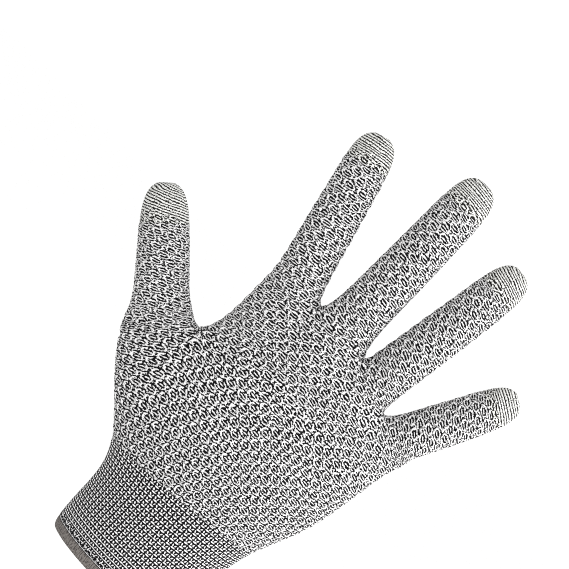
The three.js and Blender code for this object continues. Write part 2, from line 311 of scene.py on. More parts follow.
def addRow(row, keys):
    # keys are points of the row seen from the back of the hand, with the column that each one holds
    steps = net["sectionSteps"]
    keyX = [key["x"] for key in keys]
    keyZ = [key["z"] for key in keys]
    reach = np.append(0, np.cumsum(np.hypot(np.diff(keyX), np.diff(keyZ))))
    turns = np.pi * np.arange(steps + 1) / steps
    share = (1 - np.cos(turns)) / 2
    x = np.interp(share * reach[-1], reach, keyX)
    z = np.interp(share * reach[-1], reach, keyZ) + row.get("arch", 0) * 4 * share * (1 - share)
    y = through(row["leftY"], row["midY"], row["rightY"], share)
    bulge = np.abs(np.sin(turns)) ** row["square"]
    depth = bulge * (row["backDepth"] + row["palmDepth"]) / 2
    half = np.stack([x, depth, z], 1)
    lengths = np.append(0, np.cumsum(np.linalg.norm(np.diff(half, axis=0), axis=1)))
    keySteps = np.rint(np.arccos(1 - 2 * reach / reach[-1]) / np.pi * steps).astype(int)
    ring = {"back": {}, "palm": {}}
    columns = [key["column"] for key in keys]
    for column in range(math.ceil(columns[0]), math.floor(columns[-1]) + 1):
        near = int(np.searchsorted(lengths, np.interp(column, columns, lengths[keySteps])))
        web = next((key.get("web") for key in keys if key["column"] == column), None)
        back = web or row["backDepth"] * bulge[near] + padHeight(x[near], z[near], -1)
        palm = web or row["palmDepth"] * bulge[near] + padHeight(x[near], z[near], 1)
        ring["back"][column] = addPoint(x[near], y[near] - back, z[near])
        ring["palm"][column] = addPoint(x[near], y[near] + palm, z[near])
    return ring


def ringOf(row, first, last):
    columns = range(first, last + 1)
    return [row["back"][c] for c in columns] + [row["palm"][c] for c in reversed(columns)]


def cellsRound(start, spans):
    # cells counted round a ring: each span is a number of columns and the cells that lie evenly over them
    counts = np.cumsum([0] + [columns for columns, share in spans])
    values = np.cumsum([start] + [share for columns, share in spans])
    return list(np.interp(range(counts[-1] + 1), counts, values))


def rowCells(row, first, last):
    # courses of a row: on the little finger's side of the hand they lie lower by the sink
    reach = lastColumn + 0.5 - middleColumn
    shares = [max(0, c - middleColumn) / reach for c in range(first, last + 1)]
    half = [row["v"] + row["sink"] * share for share in shares]
    return half + half[::-1]


def fingerCells(bodyCells, first, palmFirst, web, around):
    # a finger takes its cells from both sides of the hand, with the palm's moved by whole cells, so that
    # only the web's own lie between
    back = bodyCells[first:first + step + 1]
    palm = bodyCells[palmFirst:palmFirst + step + 1]
    jump = round(palm[0] - back[-1] - web)
    return back + [value - jump for value in palm] + [back[0] + around]


def addBand(low, high, lowCells, highCells, lowV, highV, piece):
    for i in range(len(low)):
        following = (i + 1) % len(low)
        quads.append((low[i], low[following], high[following], high[i]))
        quadPieces.append(pieceNames.index(piece))
        quadCells.append([
            (lowCells[i], lowV[i]),
            (lowCells[i + 1], lowV[following]),
            (highCells[i + 1], highV[following]),
            (highCells[i], highV[i]),
        ])


def ringTurns(count):
    return [-math.pi + (i + 0.5) * 2 * math.pi / count for i in range(count)]


def addFingerRing(centre, across, width, depth):
    ring = []
    for turn in ringTurns(2 * (step + 1)):
        along = math.cos(turn) * width * net["ringSwell"] / 2
        out = math.sin(turn) * depth * net["ringSwell"] / 2
        x, y, z = centre[0] + along * across[0], centre[1] + out, centre[2] + along * across[1]
        ring.append(addPoint(x, y, z))
    return ring


def addFinger(finger, root, rootCells, rootV, around):
    start = np.mean([points[corner] for corner in root], axis=0)
    end = np.array([finger["tipX"], finger["tipY"], finger["tipZ"]])
    reach = math.hypot(end[0] - start[0], end[2] - start[2])
    across = ((end[2] - start[2]) / reach, -(end[0] - start[0]) / reach)
    front = (rootCells[0] + rootCells[step]) / 2
    perColumn = around / len(root)
    even = [front + (i - step / 2) * perColumn for i in range(len(root) + 1)]
    middleV = float(np.mean(rootV))
    sides = [math.cos(turn) for turn in ringTurns(len(root))]
    sections = []
    for i, (share, width, depth) in enumerate(tubeSections):
        flare = finger["flare"] if i == 0 else 1
        sections.append((share * (reach - finger["plain"]), width * flare, depth, finger["name"]))
    for share, width, depth in endSections:
        sections.append((reach - share * finger["plain"], width, depth, finger["tipName"]))
    # smoothing draws each ring towards its neighbours, so the pattern is counted from where a ring ends up
    lengths = np.array([-net["rootStepMm"], 0] + [section[0] for section in sections] + [sections[-1][0]])
    drawn = (lengths[:-2] + 4 * lengths[1:-1] + lengths[2:]) / 6
    places = middleV + (drawn - drawn[0]) / cells["fingerHeightMm"]
    ring, ringCells, ringV = root, rootCells, rootV
    for i, (length, width, depth, piece) in enumerate(sections):
        centre = start + (end - start) * length / reach
        centre[1] = through(start[1], finger["midY"], end[1], length / reach)
        nextRing = addFingerRing(centre, across, width * finger["width"], depth * finger["depth"])
        nextCells = even if i > 0 else [(a + b) / 2 for a, b in zip(rootCells, even)]
        slant = finger["tipSlant"] if piece == finger["tipName"] else finger["slant"]
        nextV = [places[i + 1] + slant * side for side in sides]
        addBand(ring, nextRing, ringCells, nextCells, ringV, nextV, piece)
        ring, ringCells, ringV = nextRing, nextCells, nextV
    finger["plainV"] = places[len(tubeSections)]  # where the honeycomb ends
    rise = finger["depth"] * endSections[-1][2] / 2 / cells["fingerHeightMm"]
    for i in range(step):
        opposite = len(ring) - 1 - i
        quads.append((ring[i], ring[i + 1], ring[opposite - 1], ring[opposite]))
        quadPieces.append(pieceNames.index(finger["tipName"]))
        quadCells.append([
            (even[i], ringV[i]),
            (even[i + 1], ringV[i + 1]),
            (even[i + 1], ringV[i + 1] + rise),
            (even[i], ringV[i] + rise),
        ])


def partingCells():
    # cells round the parting, the row at which the thumb leaves the hand
    web, thumbWeb, thumbBack = cells["web"], cells["thumbWeb"], cells["thumbBack"]
    thumbPalm = cells["roundThumb"] - thumbBack - thumbWeb - web
    upperBack = cells["handBack"] - thumbBack
    upperPalm = cells["roundUpper"] - upperBack - thumbWeb - web
    backs = [(thumbColumn, thumbBack), (upperColumns, upperBack), (1, web)]
    palms = [(upperColumns, upperPalm), (thumbColumn, thumbPalm), (1, web)]
    return cellsRound(middleColumn - thumbBack - 2 * step * upperBack / upperColumns, backs + palms)


def addLowerHand(lastCells):
    # hem, cuff and palm, from the opening to the parting
    web, back = cells["web"], cells["handBack"]
    spans = [(lastColumn, back), (1, web), (lastColumn, cells["roundPalm"] - back - 2 * web), (1, web)]
    evenCells = cellsRound(middleColumn * (1 - back / lastColumn), spans)
    low, lowV = None, None
    for i, row in enumerate(lowerRows):
        # the edges of the hand lie half a column outside its first and last column
        keys = [
            {"column": -0.5, "x": row["leftX"], "z": row["leftZ"]},
            {"column": lastColumn + 0.5, "x": row["rightX"], "z": row["rightZ"]},
        ]
        if row["splitX"] is not None:
            depth = net["thumbWebMm"] if row is lowerRows[-1] else None
            keys.insert(1, {"column": thumbColumn, "x": row["splitX"], "z": row["splitZ"], "web": depth})
        corners = addRow(row, keys)
        high, highV = ringOf(corners, 0, lastColumn), rowCells(row, 0, lastColumn)
        if low:
            piece = next(name for name in bodyLastRow if i <= bodyLastRow[name])
            highCells = lastCells if row is lowerRows[-1] else evenCells
            addBand(low, high, evenCells, highCells, lowV, highV, piece)
        low, lowV = high, highV
    return corners


def addThumb(parting, rootCells):
    root = ringOf(parting, 0, thumbColumn)
    palmFirst = thumbColumn + 2 * upperColumns + 1
    around = cells["roundThumb"]
    ownCells = fingerCells(rootCells, 0, palmFirst, cells["thumbWeb"], around)
    addFinger(fingers[0], root, ownCells, rowCells(lowerRows[-1], 0, thumbColumn), around)


def addUpperHand(parting, lowCells):
    # palm from the parting to the roots of the four fingers, and the fingers
    low = ringOf(parting, thumbColumn, lastColumn)
    lowV = rowCells(lowerRows[-1], thumbColumn, lastColumn)
    lowCells = lowCells[thumbColumn:thumbColumn + 2 * upperColumns + 2]
    lowCells.append(lowCells[0] + cells["roundUpper"])
    web, rootsBack, rootsPalm = cells["web"], 4 * cells["fingerBack"], 4 * cells["fingerPalm"]
    spans = [(upperColumns, rootsBack), (1, web), (upperColumns, rootsPalm), (1, web)]
    highCells = cellsRound(middleColumn - rootsBack / 2, spans)
    for section in upperRows + [lastRow]:
        if section is lastRow:
            keys = [dict(root, column=thumbColumn + i * step) for i, root in enumerate(fingerRoots)]
            half = cellsRound(keys[0]["v"], [(step, b["v"] - a["v"]) for a, b in zip(keys, keys[1:])])
            highV = half + half[::-1]
        else:
            highV = rowCells(section, thumbColumn, lastColumn)
            keys = [
                {"column": thumbColumn, "x": section["leftX"], "z": section["leftZ"]},
                {"column": lastColumn, "x": section["rightX"], "z": section["rightZ"]},
            ]
        keys[0]["column"] -= 0.5
        keys[-1]["column"] += 0.5
        corners = addRow(section, keys)
        high = ringOf(corners, thumbColumn, lastColumn)
        addBand(low, high, lowCells, highCells, lowV, highV, "palm")
        low, lowCells, lowV = high, highCells, highV
    for i, finger in enumerate(fingers[1:]):
        first = i * step
        root = ringOf(corners, thumbColumn + first, thumbColumn + first + step)
        palmFirst = 2 * upperColumns + 1 - first - step
        rootCells = fingerCells(highCells, first, palmFirst, web, cells["roundFinger"])
        rootV = half[first:first + step + 1]
        addFinger(finger, root, rootCells, rootV + rootV[::-1], cells["roundFinger"])


def netMesh():
    mesh = bpy.data.meshes.new("gloveNet")
    mesh.from_pydata([tuple(c * mm for c in point) for point in points], [], quads)
    for name in pieceNames:
        mesh.materials.append(bpy.data.materials.new(name))
    mesh.polygons.foreach_set("material_index", quadPieces)
    layer = mesh.uv_layers.new(name="knit")
    layer.data.foreach_set("uv", np.array(quadCells, dtype=np.float32).ravel())
    mesh.update()
    return mesh


def smoothed(item, levels):
    item.modifiers["Subdivision"].levels = levels
    depsgraph = bpy.context.evaluated_depsgraph_get()
    mesh = item.evaluated_get(depsgraph).to_mesh()
    count = len(mesh.vertices)
    faceCount = len(mesh.polygons)
    result = {
        "points": np.empty(count * 3),
        "normals": np.empty(count * 3),
        "quads": np.empty(faceCount * 4, dtype=np.int64),
        "pieces": np.empty(faceCount, dtype=np.int64),
        "cells": np.empty(faceCount * 8),
    }
    mesh.vertices.foreach_get("co", result["points"])
    mesh.vertices.foreach_get("normal", result["normals"])
    mesh.loops.foreach_get("vertex_index", result["quads"])
    mesh.polygons.foreach_get("material_index", result["pieces"])
    mesh.uv_layers["knit"].data.foreach_get("uv", result["cells"])
    item.evaluated_get(depsgraph).to_mesh_clear()
    result["points"] = result["points"].reshape(-1, 3)
    result["normals"] = result["normals"].reshape(-1, 3)
    result["quads"] = result["quads"].reshape(-1, 4)
    result["cells"] = result["cells"].reshape(-1, 4, 2)
    return result


cellsAtParting = partingCells()
partingRow = addLowerHand(cellsAtParting)
addThumb(partingRow, cellsAtParting)
addUpperHand(partingRow, cellsAtParting)
netItem = bpy.data.objects.new("gloveNet", netMesh())
bpy.context.scene.collection.objects.link(netItem)
netModifier = netItem.modifiers.new("Subdivision", "SUBSURF")
netModifier.uv_smooth = "NONE"
netModifier.boundary_smooth = "ALL"
inner = smoothed(netItem, net["innerLevels"])
outer = smoothed(netItem, net["outerLevels"])
bpy.data.objects.remove(netItem)
print("glove: net smoothed,", len(outer["quads"]), "outer faces")

# Yarn. All of the knit is glass fibre wrapped in matt polyester, white and black together, knitted by
# machine: the eye gets black and white stitches of a dull, dry fibre, and no gloss at all. Glass and
# polyester both lie near the default IOR of 1.5 and neither is a metal, and their loose fibres scatter
# what gloss there is.
glassYarn = {
    "darkYarn": "#0A090C",
    "paleYarn": "#F4F3F3",
    "darkTone": 0.36,  # the yarn is all dark below this tone, and all pale above the next one
    "paleTone": 0.66,
    "roughness": 0.9,
    "specular": 0.1,
    "sheen": 0.03,
    "bumpMm": 0.3,  # how much higher a stitch lies for a tone of 1
}


def strokeRows(rows):
    # Strokes draw the stitches. Each is a bar, or a ring where it has a radius, in shares of a repeat:
    # where its middle lies, its half sizes, how it bends and leans, how far it is flat and where it ends,
    # and what it adds to the tone. A repeat is one honeycomb cell, and on the cuff two courses of one rib.
    # The real yarn is some 0.3 mm thick, too fine to show, so a stroke is drawn 0.4 to 1 mm thick, as
    # coarse as it needs. A stroke that is the same on both sides of a repeat has both places in x.
    strokes = namedRows("x y wide tall bend lean ring flat soft tone", rows)
    return [dict(stroke, x=x) for stroke in strokes for x in np.ravel(stroke["x"]).tolist()]


def knitFinish(tree, shader, tone, values):
    colour = addNode(tree, "ValToRGB", inputs={"Fac": tone})
    darkStop, paleStop = colour.color_ramp.elements
    darkStop.position, paleStop.position = values["darkTone"], values["paleTone"]
    darkStop.color, paleStop.color = linearColour(values["darkYarn"]), linearColour(values["paleYarn"])
    tree.links.new(colour.outputs["Color"], shader.inputs["Base Color"])
    shader.inputs["Roughness"].default_value = values["roughness"]
    shader.inputs["Specular IOR Level"].default_value = values["specular"]
    shader.inputs["Sheen Weight"].default_value = values["sheen"]
    bump = addNode(tree, "Bump", inputs={"Height": tone, "Distance": values["bumpMm"] * mm})
    tree.links.new(bump.outputs["Normal"], shader.inputs["Normal"])


def shadeNear(tree, tone, away, flat, soft, depth):
    # adds the depth to the tone up to flat away from a line, and less of it up to soft
    limits = {"Value": away, "From Min": flat, "From Max": soft, "To Min": depth, "To Max": 0.0}
    mask = addNode(tree, "MapRange", {"interpolation_type": "SMOOTHSTEP"}, limits)
    return addNode(tree, "Math", {"operation": "ADD"}, {0: tone, 1: mask})


def addStroke(tree, tone, place, stroke):
    middle = (stroke["x"], stroke["y"], 0)
    moved = addNode(tree, "VectorMath", {"operation": "SUBTRACT"}, {0: place, 1: middle})
    split = addNode(tree, "SeparateXYZ", inputs={"Vector": moved})
    x, y = split.outputs["X"], split.outputs["Y"]
    if stroke["bend"]:
        square = addNode(tree, "Math", {"operation": "MULTIPLY"}, {0: x, 1: x})
        y = addNode(tree, "Math", {"operation": "MULTIPLY_ADD"}, {0: square, 1: stroke["bend"], 2: y})
    if stroke["lean"]:
        x = addNode(tree, "Math", {"operation": "MULTIPLY_ADD"}, {0: y, 1: stroke["lean"], 2: x})
    shaped = addNode(tree, "CombineXYZ", inputs={"X": x, "Y": y})
    half = (stroke["wide"], stroke["tall"], 1)
    scaled = addNode(tree, "VectorMath", {"operation": "DIVIDE"}, {0: shaped, 1: half})
    reach = addNode(tree, "VectorMath", {"operation": "LENGTH"}, {0: scaled}).outputs["Value"]
    fromLine = addNode(tree, "Math", {"operation": "SUBTRACT"}, {0: reach, 1: stroke["ring"]})
    away = addNode(tree, "Math", {"operation": "ABSOLUTE"}, {0: fromLine})
    return shadeNear(tree, tone, away, stroke["flat"], stroke["soft"], stroke["tone"])


def centred(tree, colour, reach):
    # a random colour turned into a shift to either side
    even = addNode(tree, "VectorMath", {"operation": "SUBTRACT"}, {0: colour, 1: (0.5, 0.5, 0.5)})
    return addNode(tree, "VectorMath", {"operation": "MULTIPLY"}, {0: even, 1: reach})


def wandered(tree, place, values):
    for scale, reach in values["wander"]:
        settings = {"Vector": place, "Scale": scale, "Detail": 1.0}
        noise = addNode(tree, "TexNoise", {"noise_dimensions": "2D"}, settings)
        shift = centred(tree, noise.outputs["Color"], reach)
        place = addNode(tree, "VectorMath", {"operation": "ADD"}, {0: place, 1: shift})
    return place


def addBreaks(tree, tone, place, values):
    # patches where the noise is high turn paler, and where it is low darker
    lowNoise, highNoise = 0.3, 0.7  # nearly all of the noise lies between these
    stretched = addNode(tree, "VectorMath", {"operation": "MULTIPLY"}, {0: place, 1: values["breaks"]})
    settings = {"Vector": stretched, "Scale": 1.0, "Detail": 2.0}
    noise = addNode(tree, "TexNoise", {"noise_dimensions": "2D"}, settings)
    limits = {"Value": noise.outputs["Fac"], "From Min": lowNoise, "From Max": highNoise}
    depths = {"To Min": -values["breakTone"], "To Max": values["breakTone"]}
    patches = addNode(tree, "MapRange", inputs={**limits, **depths})
    return addNode(tree, "Math", {"operation": "ADD"}, {0: tone, 1: patches})


# Palm. Tuck knit, whose stitches held over several courses draw it together into a honeycomb: the eye gets
# a dark hollow in each cell, with a pale, raised ring of yarn round it. Lengths are in cells, and in
# millimetres where the name ends in Mm.
palmKnit = dict(
    glassYarn,
    hollowMm=0.45,  # the dark middle of a cell lies lower, as real shape
    ridgeMm=0.35,  # and the pale arcs round it stand up
    hollowWide=0.3,  # half sizes of the hollow
    hollowTall=0.25,
    hollowSink=0.02,  # its deepest point lies below the middle of the cell
    hollowEdge=1.15,  # where the hollow ends, in its own half sizes, and where the ridge stands
    ridgePlace=1.35,
    ridgeWide=0.3,
    reliefFade=0.6,  # the relief dies out over this length beside plain knit
    stretchFrom=7.0,  # between these rows more and more cells look like the stretched ones of the fingers
    stretchTo=12.0,
    tone=0.42,
    # noise per cell, and how far it moves a stitch
    wander=[(1.3, (0.1, 0.06, 0)), (6.0, (0.05, 0.04, 0))],
    cellShift=(0.04, 0.02, 0),  # each cell is drawn this much out of place
    breaks=(7.0, 10.0, 1),  # patches of 0.9 by 0.6 mm, about a stitch, where black and white change places
    breakTone=0.5,
    tilt=0.05,  # stitches sink towards the little finger
    courseSwing=0.05,  # the dark course rises over a hollow and sinks under it
    courseWidth=0.05,
    courseTone=-0.5,
    strokes=strokeRows([
        # pale ring round the hollow, strongest at its shoulders
        (0, 0, 0.35, 0.215, 0, 0, 1, 0.06, 0.2, 0.5),
        (-0.27, 0.14, 0.1, 0.06, 0, -0.6, 0, 0.3, 1.1, 0.3),
        (0.29, 0.1, 0.07, 0.1, 0, 0.6, 0, 0.3, 1.1, 0.3),
        # its lower side, dark with three pale stitches
        (0, -0.21, 0.24, 0.05, 0, 0, 0, 0.4, 1, -0.45),
        (0, -0.21, 0.09, 0.035, 0, 0, 0, 0.3, 1, 0.6),
        ((-0.33, 0.33), -0.12, 0.07, 0.05, 0, 0, 0, 0.2, 1, 0.4),
        # two dark stitches in the hollow, a pale one between
        (0, 0.09, 0.25, 0.05, 1.1, 0, 0, 0.5, 1, -1.0),
        (0, -0.095, 0.25, 0.05, -0.4, 0, 0, 0.5, 1, -1.0),
        (0, 0, 0.18, 0.045, 0.3, 0, 0, 0.5, 1, 0.6),
        # dark stitches tucked over this hollow and its neighbours, and this one's leg and foot
        (0, 0.29, 0.16, 0.05, 0, 0, 0, 0.3, 1, -0.5),
        ((-0.5, 0.5), -0.21, 0.16, 0.05, 0, 0, 0, 0.3, 1, -0.5),
        (0, 0.21, 0.08, 0.08, 0, 0, 0, 0.3, 1, -1.1),
        (0, -0.3, 0.12, 0.04, 0, 0, 0, 0.3, 1, -0.4),
        # pale loops between two hollows, with a dark gap in the middle
        ((-0.5, 0.5), 0.1, 0.1, 0.035, 0, 0, 0, 0.3, 1, 0.6),
        ((-0.5, 0.5), 0.01, 0.1, 0.07, 0, 0, 0, 0.4, 1, -1.0),
        ((-0.5, 0.5), -0.09, 0.09, 0.035, 0, 0, 0, 0.3, 1, 0.35),
    ]),
)


def smoothStep(value):
    t = np.clip(value, 0, 1)
    return t * t * (3 - 2 * t)


def nearestHollow(u, v):
    # hollows lie on whole cells, and once more half a cell aside and above
    column, row = np.floor(u + 0.5), np.floor(v + 0.5)
    far = np.abs(u - column) + np.abs(v - row) > 0.5
    column = np.where(far, column + 0.5 * np.sign(u - column), column)
    row = np.where(far, row + 0.5 * np.sign(v - row), row)
    return column, row


def honeycombHeight(u, v):
    column, row = nearestHollow(u, v)
    across, along = u - column, v - row + palmKnit["hollowSink"]
    reach = np.hypot(across / palmKnit["hollowWide"], along / palmKnit["hollowTall"])
    ridge = np.exp(-((reach - palmKnit["ridgePlace"]) / palmKnit["ridgeWide"]) ** 2)
    hollow = 1 - smoothStep(reach / palmKnit["hollowEdge"])
    return palmKnit["ridgeMm"] * ridge - palmKnit["hollowMm"] * hollow


def stretchedCells(u, v):
    # chooses whole cells at random, and more of them towards the finger roots
    perColumn, perRow, spread = 12.9898, 78.233, 43758.5453  # any uneven numbers scatter the cells
    column, row = nearestHollow(u, v)
    chance = np.abs(np.sin(column * perColumn + row * perRow) * spread) % 1
    return (v - palmKnit["stretchFrom"]) / (palmKnit["stretchTo"] - palmKnit["stretchFrom"]) > chance


def honeycombCell(tree, place, values):
    # coordinates from the middle of the nearest hollow, where every other row lies half a cell aside, and
    # the distance from the swinging course that runs midway between two rows
    half, midway = (0.5, 0.5, 0), 0.25
    moved = addNode(tree, "VectorMath", {"operation": "ADD"}, {0: place, 1: half})
    part = addNode(tree, "VectorMath", {"operation": "FRACTION"}, {0: moved})
    near = addNode(tree, "VectorMath", {"operation": "SUBTRACT"}, {0: part, 1: half})
    split = addNode(tree, "SeparateXYZ", inputs={"Vector": near})
    fromRow = addNode(tree, "Math", {"operation": "ABSOLUTE"}, {0: split.outputs["Y"]})
    turn = addNode(tree, "Math", {"operation": "MULTIPLY"}, {0: split.outputs["X"], 1: 2 * math.pi})
    wave = addNode(tree, "Math", {"operation": "COSINE"}, {0: turn})
    swing = {0: wave, 1: values["courseSwing"], 2: midway}
    course = addNode(tree, "Math", {"operation": "MULTIPLY_ADD"}, swing)
    fromCourse = addNode(tree, "Math", {"operation": "SUBTRACT"}, {0: fromRow, 1: course})
    odd = addNode(tree, "Math", {"operation": "GREATER_THAN"}, {0: fromCourse, 1: 0})
    aside = addNode(tree, "VectorMath", {"operation": "SCALE"}, {0: half, "Scale": odd})
    own = addNode(tree, "VectorMath", {"operation": "ADD"}, {0: moved, 1: aside})
    ownPart = addNode(tree, "VectorMath", {"operation": "FRACTION"}, {0: own})
    local = addNode(tree, "VectorMath", {"operation": "SUBTRACT"}, {0: ownPart, 1: half})
    whole = addNode(tree, "VectorMath", {"operation": "FLOOR"}, {0: own})
    dice = addNode(tree, "TexWhiteNoise", {"noise_dimensions": "2D"}, {"Vector": whole})
    shift = centred(tree, dice.outputs["Color"], values["cellShift"])
    shifted = addNode(tree, "VectorMath", {"operation": "ADD"}, {0: local, 1: shift})
    upright = (values["tilt"], 1, 0)
    tilted = addNode(tree, "VectorMath", {"operation": "DOT_PRODUCT"}, {0: shifted, 1: upright})
    across = addNode(tree, "SeparateXYZ", inputs={"Vector": shifted}).outputs["X"]
    cell = addNode(tree, "CombineXYZ", inputs={"X": across, "Y": tilted.outputs["Value"]})
    return cell, fromCourse


def honeycombTone(tree, flat, values):
    cell, fromCourse = honeycombCell(tree, wandered(tree, flat, values), values)
    away = addNode(tree, "Math", {"operation": "ABSOLUTE"}, {0: fromCourse})
    tone = shadeNear(tree, values["tone"], away, 0.0, values["courseWidth"], values["courseTone"])
    for stroke in values["strokes"]:
        tone = addStroke(tree, tone, cell, stroke)
    return addBreaks(tree, tone, flat, values)


def makeHoneycomb(name, values):
    material, tree, shader = startMaterial(name)
    flat = addNode(tree, "UVMap", {"uv_map": "knit"}).outputs["UV"]
    knitFinish(tree, shader, honeycombTone(tree, flat, values), values)
    return material


# Fingers. The same tuck knit, stretched wider when worn: its stitches lie straighter and its rings are
# broken up, so the eye gets a finer, more even mix of black and white.
fingerKnit = dict(
    palmKnit,
    tone=0.44,
    courseTone=-0.1,
    strokes=strokeRows([
        # painted shade over the hollow, darkening its middle, with a pale ring round it
        (0, 0, 0.3, 0.16, 0, 0, 0, 0.4, 1.1, -0.07),
        (0, 0, 0.38, 0.195, 0, 0, 1, 0.04, 0.22, 0.3),
        # dark stitches over this hollow and its neighbours
        (0, 0.31, 0.25, 0.05, 0, 0, 0, 0.6, 1, -0.9),
        ((-0.5, 0.5), -0.19, 0.25, 0.05, 0, 0, 0, 0.6, 1, -0.9),
        # two dark stitches in the hollow, a pale one between
        (0, 0.09, 0.28, 0.05, 0.3, 0, 0, 0.6, 1, -1.0),
        (0.03, -0.09, 0.3, 0.05, 0, 0, 0, 0.6, 1, -1.0),
        (0.01, 0, 0.2, 0.04, 0, 0, 0, 0.5, 1, 0.6),
        # straight stitches below and above it
        (0, -0.19, 0.2, 0.035, 0, 0, 0, 0.4, 1, 0.5),
        (0.02, -0.28, 0.16, 0.04, 0, 0, 0, 0.4, 1, -0.6),
        (-0.12, 0.2, 0.18, 0.04, 0, 0, 0, 0.4, 1, 0.55),
        # pale legs that lean beside it
        (-0.25, -0.2, 0.04, 0.12, 0, 0.86, 0, 0.3, 1, 0.5),
        (-0.36, 0.02, 0.04, 0.12, 0, 0.3, 0, 0.3, 1, 0.5),
        (0.36, -0.02, 0.04, 0.12, 0, 0.3, 0, 0.3, 1, 0.5),
        # pale loops between two hollows, and the dark gaps below them
        ((-0.5, 0.5), 0.14, 0.13, 0.035, 0, 0, 0, 0.3, 1, 0.55),
        ((-0.5, 0.5), 0.05, 0.12, 0.045, 0, 0, 0, 0.3, 1, -0.7),
    ]),
)

# Finger ends. Plain knit with its white yarn outermost: the eye gets thin grey courses on off-white.
tipKnit = dict(
    glassYarn,
    courseMm=1.2,  # from one grey line to the next, large enough to show as it is
    reliefMm=0.1,
    darkYarn="#1C1B18",
    paleYarn="#F5F5F1",
    tone=0.83,
    courseWidth=0.075,
    courseTone=-0.9,
    wander=[(1.0, (0, 0.08, 0)), (6.0, (0, 0.04, 0))],
    breaks=(9.0, 12.0, 1),
    breakTone=0.45,
    fadeCells=(1.3, 1.6),  # the honeycomb runs out here, moved by noise of this scale and reach
    fadeScale=2.0,
    fadeReach=2.0,
)


def plainTone(tree, flat, pitch, values):
    # dark courses that run across the knit, a pitch apart
    place = wandered(tree, flat, values)
    along = addNode(tree, "SeparateXYZ", inputs={"Vector": place}).outputs["Y"]
    away = addNode(tree, "Math", {"operation": "PINGPONG"}, {0: along, 1: pitch / 2})
    tone = shadeNear(tree, values["tone"], away, 0.0, values["courseWidth"], values["courseTone"])
    return addBreaks(tree, tone, flat, values)


def makeTip(values):
    material, tree, shader = startMaterial("plainKnitGlassYarn")
    flat = addNode(tree, "UVMap", {"uv_map": "knit"}).outputs["UV"]
    beyond = addNode(tree, "Attribute", {"attribute_name": "beyondHoneycomb"}).outputs["Fac"]
    settings = {"Vector": flat, "Scale": values["fadeScale"]}
    noise = addNode(tree, "TexNoise", {"noise_dimensions": "2D"}, settings)
    reached = {0: noise.outputs["Fac"], 1: values["fadeReach"], 2: beyond}
    uneven = addNode(tree, "Math", {"operation": "MULTIPLY_ADD"}, reached)
    first, last = values["fadeCells"]
    limits = {"Value": uneven, "From Min": first, "From Max": last}
    share = addNode(tree, "MapRange", {"interpolation_type": "SMOOTHSTEP"}, limits)
    honeycomb = honeycombTone(tree, flat, fingerKnit)
    plain = plainTone(tree, flat, values["courseMm"] / cells["fingerHeightMm"], values)
    between = addNode(tree, "Math", {"operation": "SUBTRACT"}, {0: plain, 1: honeycomb})
    tone = addNode(tree, "Math", {"operation": "MULTIPLY_ADD"}, {0: share, 1: between, 2: honeycomb})
    knitFinish(tree, shader, tone, values)
    return material


# Cuff. The same yarn knitted plain over an elastic thread, which draws it in: the eye gets fine upright
# ribs, darker than the hand, of small pale stitches.
cuffKnit = dict(
    glassYarn,
    repeatsRound=66,  # ribs of 2.5 mm
    courseMm=1.15,
    coursesPerRepeat=2,
    reliefMm=0.22,
    tone=0.2,
    wander=[(2.0, (0.1, 0.05, 0))],  # by repeats
    breaks=(5.0, 9.0, 1),
    breakTone=0.2,
    # a repeat is one stitch lying along the course, with the two legs of a stitch above it
    strokes=strokeRows([
        (0, -0.28, 0.46, 0.17, 0, 0, 0, 0.55, 1, 1.0),
        (-0.25, 0.18, 0.16, 0.28, 0, 0.35, 0, 0.45, 1, 1.0),
        (0.25, 0.18, 0.16, 0.28, 0, -0.35, 0, 0.45, 1, 1.0),
    ]),
    # a row of larger stitches stands beside the hem
    edgeFrom=-6.71,  # where in the pattern it starts, and how many cells it is high
    edgeCells=0.36,
    edgeRepeats=1.5,  # each is a rib and a half wide
    edgeStrokes=strokeRows([
        (0, 0, 9.0, 0.6, 0, 0, 0, 0.8, 1, -0.9),
        (-0.24, 0, 0.13, 0.5, 0, 0.3, 0, 0.6, 1, 2.8),
        (0.24, 0.1, 0.11, 0.5, 0, -0.1, 0, 0.6, 1, 2.8),
    ]),
    longCells=(0.4, 2.2),  # above it the stitches run together into lines, which fade between these places
    longStroke=strokeRows([(0, -0.28, 0.9, 0.13, 0, 0, 0, 0.5, 1, 0.9)])[0],
)


